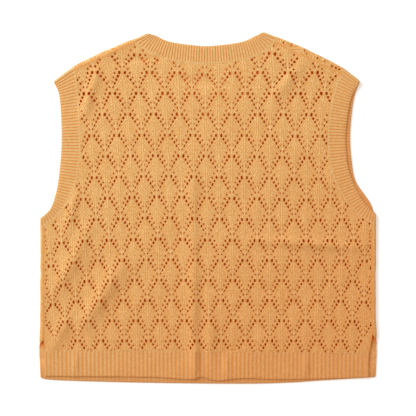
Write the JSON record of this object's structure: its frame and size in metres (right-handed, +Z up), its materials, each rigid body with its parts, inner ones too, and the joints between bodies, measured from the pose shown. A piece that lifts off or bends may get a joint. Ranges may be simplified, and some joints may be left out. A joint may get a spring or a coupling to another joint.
{
  "type": "sleeveless pullover sweater",
  "caption": "Sleeveless lace-knit pullover with ribbed neck, armhole bands and split hem, laid flat with its back up.",
  "frame": {"origin": "centre of the footprint, on the surface the garment lies on", "axes": "+Z up from the surface, +Y towards the neck, +X to the right as seen from above, with the back up"},
  "size_m": [0.5428, 0.5627, 0.0063],
  "materials": {
    "lace_knit": "matt apricot cotton lace knit",
    "rib_knit": "matt apricot cotton rib knit"
  },
  "bodies": {
    "root": {"front_panel": "lace_knit", "back_panel": "lace_knit", "neck_band": "rib_knit", "armhole_band_left": "rib_knit", "armhole_band_right": "rib_knit", "back_hem_rib": "rib_knit", "front_hem_rib": "rib_knit"}
  },
  "joints": []
}
